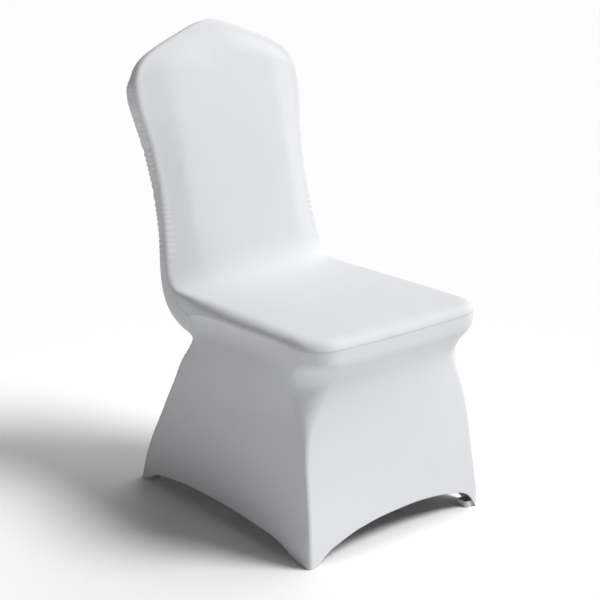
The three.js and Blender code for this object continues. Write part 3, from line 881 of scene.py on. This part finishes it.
def pocket_mesh(name, cloth):
    """Small cup of cloth on the floor, open at the top, its mouth rolled over."""
    *outer_corner, lean = POCKETS[name]
    middle = [place - math.copysign(POCKET_WIDTH / 2, place) for place in outer_corner]
    thickness = cloth.thickness / MM
    bend = thickness / 2
    foot = bend * POCKET_FOOT_ROUND

    def loop(inset, z):
        half, rounding = POCKET_WIDTH / 2 - inset, POCKET_ROUND - inset
        points = []
        for quarter, (sx, sy) in enumerate(((1, 1), (-1, 1), (-1, -1), (1, -1))):
            for i in range(POCKET_CORNER_STEPS + 1):
                turn = (quarter + i / POCKET_CORNER_STEPS) * math.pi / 2
                points.append((
                    middle[0] + sx * (half - rounding) + rounding * math.cos(turn),
                    middle[1] + sy * (half - rounding) + rounding * math.sin(turn)
                    + lean * z / POCKET_HEIGHT + SHIFT_Y,
                    z,
                ))
        return points

    lip = [
        loop(bend - bend * math.cos(turn), POCKET_HEIGHT - bend + bend * math.sin(turn))
        for turn in np.linspace(0, math.pi, POCKET_LIP_STEPS + 1)
    ]
    loops = [loop(bend, 0), loop(foot, foot), loop(0, bend), *lip, loop(thickness, thickness)]
    size = len(loops[0])
    faces = []
    for ring in range(len(loops) - 1):
        for i in range(size):
            a, b = ring * size + i, ring * size + (i + 1) % size
            faces.append((a, b, b + size, a + size))
    top = (len(loops) - 1) * size
    faces += [tuple(reversed(range(size))), tuple(range(top, top + size))]
    mesh = bpy.data.meshes.new(name)
    mesh.from_pydata([[c * MM for c in point] for ring in loops for point in ring], [], faces)
    mesh.shade_smooth()
    add_knit_map(mesh, np.array([(x + y, z) for ring in loops for x, y, z in ring]))
    return mesh


@functools.cache
def seam_lines(step, columns):
    """The seams by name, each as a line."""
    seams = seam_points(step, columns)
    lines = {side: Line([seam for seam, _ in seams[side]]) for side in seams}
    tail = [tail_seam(place) for place in cover_grid(step, columns)[3]]
    lines["tail_left"] = Line(tail)
    lines["tail_right"] = Line([point * MIRROR for point in tail])
    return lines


def puckers(along, distance, fold, spacing, seed):
    """Small uneven folds beside a seam, by knit coordinate and distance from the seam."""
    waves = []
    for place in along:
        drift = noise.noise((place / PUCKER_DRIFT, SPACING_NOISE, seed))
        gain = noise.noise((place / PUCKER_DRIFT, HEIGHT_NOISE, seed))
        phase = 2 * math.pi * place / spacing + PUCKER_UNEVEN * drift
        waves.append(math.cos(phase) * max(PUCKER_LEAST, PUCKER_MEAN + PUCKER_GAIN * gain))
    band = np.exp(-(((distance - fold["middle"]) / fold["width"]) ** 2))
    start = 1 - np.exp(-((distance / PUCKER_START) ** 2))
    return fold["height"] * np.array(waves) * band * start


def dress(sheet, name, cloth):
    """Puckers a sheet along its seams and puts it in the scene."""
    points, knit = np.array(sheet.points), np.array(sheet.knit)
    lines = seam_lines(cloth.step / MM, cloth.columns)
    distances = []
    heights = np.zeros(len(points))
    folds = [fold for fold in PUCKERS if fold["piece"] == name]
    for number, fold in enumerate(folds):
        distance = lines[fold["seam"]].distance(points)
        distances.append(distance)
        along = knit[:, fold["axis"]]
        height = puckers(along, distance, fold, cloth.pucker_spacing / MM, cloth.seed + number)
        if fold["axis"] == 1:
            height *= smooth(np.abs(along), *PUCKER_FROM)
        heights += height * (1 - smooth(np.abs(along), *fold["to"]))
    sheet.shift(heights)
    piece = sheet.piece(name, "stretch_knit", cloth.thickness / MM, np.min(distances, axis=0))


class Wire:
    """An output of a shader tree. Arithmetic on it adds Math nodes; node() adds any other node."""

    def __init__(self, tree, socket=None):
        self.tree = tree
        self.socket = socket

    def put(self, target, value):
        """Links a wire to an input, or sets the input to a plain value."""
        if isinstance(value, Wire):
            self.tree.links.new(value.socket, target)
        else:
            target.default_value = value

    def node(self, kind, inputs=None, output=0, **settings):
        """One output of a new node, with its inputs by name or number and its other settings."""
        made = self.tree.nodes.new(kind)
        for name, value in settings.items():
            setattr(made, name, value)
        for name, value in (inputs or {}).items():
            self.put(made.inputs[name], value)
        return Wire(self.tree, made.outputs[output])

    def math(self, operation, *values):
        """Result of a Math node with these values."""
        made = self.tree.nodes.new("ShaderNodeMath")
        made.operation = operation
        for target, value in zip(made.inputs, values):
            self.put(target, value)
        return Wire(self.tree, made.outputs[0])

    def __add__(self, other):
        return self.math("ADD", self, other)

    def __radd__(self, other):
        return self.math("ADD", other, self)

    def __sub__(self, other):
        return self.math("SUBTRACT", self, other)

    def __rsub__(self, other):
        return self.math("SUBTRACT", other, self)

    def __mul__(self, other):
        return self.math("MULTIPLY", self, other)

    def __rmul__(self, other):
        return self.math("MULTIPLY", other, self)

    def __truediv__(self, other):
        return self.math("DIVIDE", self, other)

    def __rtruediv__(self, other):
        return self.math("DIVIDE", other, self)

    def at_least(self, low):
        """The wire's value, or low where that is more."""
        return self.math("MAXIMUM", self, low)


def knit_material(name, knit, colour, roughness):
    """White stretch knit: soft ribs, fine grain, an uneven tone and seam grooves in painted shade.
    """
    material = bpy.data.materials.new(name)
    material.use_nodes = True
    tree = material.node_tree
    shader = next(node for node in tree.nodes if node.type == "BSDF_PRINCIPLED")
    sheet = Wire(tree)
    flat = sheet.node("ShaderNodeUVMap", uv_map="Knit")
    place = sheet.node("ShaderNodeNewGeometry", output=0)
    tone = sheet.node("ShaderNodeTexNoise", {
        "Vector": place, "Scale": knit.tone_scale, "Detail": 3.0, "Roughness": 0.55,
    })
    # At a scale of 1 the wave's bands are pi / 10 apart.
    ribs = sheet.node("ShaderNodeTexWave", {
        "Vector": flat, "Scale": math.pi / 10 / knit.rib_spacing, "Distortion": 0.6, "Detail": 1.0,
    }, output=1, bands_direction="X")
    grain = sheet.node("ShaderNodeTexNoise", {
        "Vector": flat, "Scale": knit.grain_scale, "Detail": 2.0,
    })
    # A foot pocket has no distance from a seam, which reads as 0: all of it is groove.
    # So the painted seam shade darkens each whole pocket.
    off = sheet.node("ShaderNodeAttribute", output=2, attribute_name="seam") / knit.groove_width
    groove = (1 - off * off).at_least(0.0)
    # Inputs 6 and 7 of a Mix node are the two colours, and output 2 is the mixed one.
    # The factor paints shade into the seam grooves and varies the tone at random.
    mixed = sheet.node("ShaderNodeMix", {
        0: groove * knit.groove_shade + (tone - 0.5) * knit.tone_range,
        6: (*colour, 1), 7: (*knit.painted_shade, 1),
    }, output=2, data_type="RGBA")
    tree.links.new(mixed.socket, shader.inputs["Base Color"])
    height = ribs * knit.rib_relief + grain * knit.grain_relief - groove * knit.groove_relief
    bump = sheet.node("ShaderNodeBump", {
        "Height": height, "Strength": knit.bump, "Distance": knit.bump_height,
    })
    tree.links.new(bump.socket, shader.inputs["Normal"])
    shader.inputs["Roughness"].default_value = roughness
    shader.inputs["Sheen Weight"].default_value = knit.sheen
    shader.inputs["Sheen Roughness"].default_value = 0.4
    shader.inputs["Specular IOR Level"].default_value = 0.25
    return material


class ClothSettings(bpy.types.PropertyGroup):
    """Thickness, mesh and folds of the cloth."""

    thickness: bpy.props.FloatProperty(
        name="Thickness", description="Thickness of the knit", default=0.0015, unit="LENGTH")
    step: bpy.props.FloatProperty(
        name="Step", description="Distance between rows of the mesh", default=0.0025, unit="LENGTH")
    columns: bpy.props.IntProperty(
        name="Columns", description="Columns across the back and the seat", default=84)
    pucker_spacing: bpy.props.FloatProperty(
        name="Pucker spacing", description="Distance between the folds at the seams",
        default=0.013, unit="LENGTH")
    seed: bpy.props.FloatProperty(
        name="Seed", description="Which set of uneven folds is used", default=3.0)


class KnitSettings(bpy.types.PropertyGroup):
    """Look of the knit."""

    colour: bpy.props.FloatVectorProperty(
        name="Colour", description="Colour of the panels", default=(0.725, 0.732, 0.75),
        subtype="COLOR")
    pocket_colour: bpy.props.FloatVectorProperty(
        name="Pocket colour", description="Colour of the foot pockets",
        default=(0.74, 0.745, 0.76), subtype="COLOR")
    # Painted shade: the colour that the knit turns to in the seam grooves.
    painted_shade: bpy.props.FloatVectorProperty(
        name="Shade", description="Colour in the seams", default=(0.5, 0.5, 0.53),
        subtype="COLOR")
    roughness: bpy.props.FloatProperty(
        name="Roughness", description="Roughness of the panels", default=0.75)
    pocket_roughness: bpy.props.FloatProperty(
        name="Pocket roughness", description="Roughness of the foot pockets", default=0.85)
    sheen: bpy.props.FloatProperty(
        name="Sheen", description="Soft light at grazing angles", default=0.12)
    tone_scale: bpy.props.FloatProperty(
        name="Tone scale", description="How fine the uneven tone is", default=7.0)
    tone_range: bpy.props.FloatProperty(
        name="Tone range", description="How much the tone changes", default=0.2)
    rib_spacing: bpy.props.FloatProperty(
        name="Rib spacing", description="Distance between two soft ribs", default=0.00754,
        unit="LENGTH")
    rib_relief: bpy.props.FloatProperty(
        name="Rib relief", description="Share of the relief that a rib takes", default=0.08)
    grain_scale: bpy.props.FloatProperty(
        name="Grain scale", description="How fine the grain of the knit is", default=900.0)
    grain_relief: bpy.props.FloatProperty(
        name="Grain relief", description="Share of the relief that the grain takes", default=0.1)
    groove_width: bpy.props.FloatProperty(
        name="Groove width", description="Half width of a seam's groove", default=0.0016,
        unit="LENGTH")
    # Strength of the painted shade in a seam's groove.
    groove_shade: bpy.props.FloatProperty(
        name="Groove shade", description="How dark a seam's groove is", default=0.35)
    groove_relief: bpy.props.FloatProperty(
        name="Groove relief", description="Depth of a seam's groove in shares of the relief",
        default=1.5)
    bump: bpy.props.FloatProperty(
        name="Bump", description="Strength of the knit's relief", default=0.5)
    bump_height: bpy.props.FloatProperty(
        name="Bump height", description="Height of the knit's relief", default=0.0004,
        unit="LENGTH")


class StudioSettings(bpy.types.PropertyGroup):
    """Floor, lights and camera."""

    camera_place: bpy.props.FloatVectorProperty(
        name="Camera place", description="Where the camera stands",
        default=(-1.8884, -2.2525, 1.3206), subtype="XYZ", unit="LENGTH")
    camera_target: bpy.props.FloatVectorProperty(
        name="Camera target", description="What the camera looks at",
        default=(-0.0098, -0.0193, 0.4239), subtype="XYZ", unit="LENGTH")
    lens: bpy.props.FloatProperty(
        name="Lens", description="Focal length in millimetres", default=90.0)
    world: bpy.props.FloatProperty(
        name="Surroundings", description="Strength of the white surroundings", default=0.1)
    key: bpy.props.FloatProperty(
        name="Key light", description="Strength of the light that casts the shadow", default=2.42)
    key_from: bpy.props.FloatVectorProperty(
        name="Key direction", description="Where the key light comes from",
        default=(0.43, -0.48, 0.765), subtype="DIRECTION")
    key_spread: bpy.props.FloatProperty(
        name="Key spread", description="How wide the key light looks from the seat",
        default=math.radians(24), subtype="ANGLE")
    side: bpy.props.FloatProperty(
        name="Side light", description="Strength of the wide light on the right", default=1.42)
    side_from: bpy.props.FloatVectorProperty(
        name="Side direction", description="Where the side light comes from",
        default=(0.74, 0.0, 0.67), subtype="DIRECTION")
    side_spread: bpy.props.FloatProperty(
        name="Side spread", description="How wide the side light looks from the seat",
        default=math.radians(70), subtype="ANGLE")
    floor_size: bpy.props.FloatProperty(
        name="Floor size", description="Side of the floor", default=60.0, unit="LENGTH")


class COVER_OT_front_seat_panel(bpy.types.Operator):
    """Adds the panel for the face of the back and the seat"""

    bl_idname = "cover.front_seat_panel"
    bl_label = "Front and seat panel"

    def execute(self, context):
        cloth = context.scene.cover_cloth
        sheet, _ = front_seat_sheet(cloth.step / MM, cloth.columns)
        dress(sheet, "front_seat_panel", cloth)
        return {"FINISHED"}


class COVER_OT_back_panel(bpy.types.Operator):
    """Adds the panel for the outside of the back with both side bands"""

    bl_idname = "cover.back_panel"
    bl_label = "Back panel"

    def execute(self, context):
        cloth = context.scene.cover_cloth
        dress(back_sheet(cloth.step / MM, cloth.columns), "back_panel", cloth)
        return {"FINISHED"}


class COVER_OT_skirts(bpy.types.Operator):
    """Adds the front skirt and both side skirts"""

    bl_idname = "cover.skirts"
    bl_label = "Skirts"

    def execute(self, context):
        cloth = context.scene.cover_cloth
        step, columns = cloth.step / MM, cloth.columns
        dress(front_skirt_sheet(step, columns), "skirt_front", cloth)
        for side, mirrored in (("left", False), ("right", True)):
            sheet = side_skirt_sheet(step, columns, mirrored)
            dress(sheet, f"skirt_{side}", cloth)
        return {"FINISHED"}


class COVER_OT_foot_pockets(bpy.types.Operator):
    """Adds the four foot pockets"""

    bl_idname = "cover.foot_pockets"
    bl_label = "Foot pockets"

    def execute(self, context):
        for name in POCKETS:
            mesh = pocket_mesh(name, context.scene.cover_cloth)
            pocket = add_piece(f"foot_pocket_{name}", mesh, "pocket_knit")
        return {"FINISHED"}


def aim(thing, target):
    """Turns a light or camera towards a point."""
    direction = Vector(target) - thing.location
    thing.rotation_euler = direction.to_track_quat("-Z", "Y").to_euler()


class COVER_OT_studio(bpy.types.Operator):
    """Adds the floor, the lights and the camera"""

    bl_idname = "cover.studio"
    bl_label = "Studio"

    def execute(self, context):
        studio = context.scene.cover_studio
        half = studio.floor_size / 2
        mesh = bpy.data.meshes.new("Floor")
        mesh.from_pydata(
            [(-half, -half, 0), (half, -half, 0), (half, half, 0), (-half, half, 0)], [],
            [(0, 1, 2, 3)],
        )
        floor = bpy.data.objects.new("Floor", mesh)
        paint = bpy.data.materials.new("Floor")
        paint.use_nodes = True
        shader = next(node for node in paint.node_tree.nodes if node.type == "BSDF_PRINCIPLED")
        shader.inputs["Base Color"].default_value = (1, 1, 1, 1)
        shader.inputs["Roughness"].default_value = 0.9
        shader.inputs["Specular IOR Level"].default_value = 0.1
        mesh.materials.append(paint)
        context.scene.collection.objects.link(floor)

        world = bpy.data.worlds.new("Studio")
        world.use_nodes = True
        world.node_tree.nodes["Background"].inputs["Color"].default_value = (1, 1, 1, 1)
        world.node_tree.nodes["Background"].inputs["Strength"].default_value = studio.world
        context.scene.world = world
        context.scene.view_settings.view_transform = "Standard"

        for name, strength, origin, spread in (
            ("Key", studio.key, studio.key_from, studio.key_spread),
            ("Side", studio.side, studio.side_from, studio.side_spread),
        ):
            light = bpy.data.lights.new(name, "SUN")
            light.energy = strength
            light.angle = spread
            lamp = bpy.data.objects.new(name, light)
            lamp.location = Vector(origin) * LAMP_DISTANCE
            aim(lamp, (0, 0, 0))
            context.scene.collection.objects.link(lamp)

        lens = bpy.data.cameras.new("Camera")
        lens.lens = studio.lens
        camera = bpy.data.objects.new("Camera", lens)
        camera.location = studio.camera_place
        aim(camera, studio.camera_target)
        context.scene.collection.objects.link(camera)
        context.scene.camera = camera
        return {"FINISHED"}


class COVER_PT_panel(bpy.types.Panel):
    """Lists the steps and their settings"""

    bl_label = "Stretch cover"
    bl_idname = "COVER_PT_panel"
    bl_space_type = "VIEW_3D"
    bl_region_type = "UI"
    bl_category = "Cover"

    def draw(self, context):
        for step in STEPS:
            self.layout.operator(step.bl_idname)
        for group in ("cover_cloth", "cover_knit", "cover_studio"):
            settings = getattr(context.scene, group)
            for name in settings.__annotations__:
                self.layout.prop(settings, name)


STEPS = (
    COVER_OT_front_seat_panel,
    COVER_OT_back_panel,
    COVER_OT_skirts,
    COVER_OT_foot_pockets,
    COVER_OT_studio,
)
GROUPS = {"cover_cloth": ClothSettings, "cover_knit": KnitSettings, "cover_studio": StudioSettings}


def register():
    for name, group in GROUPS.items():
        bpy.utils.register_class(group)
        setattr(bpy.types.Scene, name, bpy.props.PointerProperty(type=group))
    for step in STEPS:
        bpy.utils.register_class(step)
    bpy.utils.register_class(COVER_PT_panel)


def unregister():
    bpy.utils.unregister_class(COVER_PT_panel)
    for step in reversed(STEPS):
        bpy.utils.unregister_class(step)
    for name, group in reversed(GROUPS.items()):
        delattr(bpy.types.Scene, name)
        bpy.utils.unregister_class(group)


def main():
    register()
    bpy.ops.cover.front_seat_panel()
    bpy.ops.cover.back_panel()
    bpy.ops.cover.skirts()
    bpy.ops.cover.foot_pockets()
    bpy.ops.cover.studio()


if __name__ == "__main__":
    main()
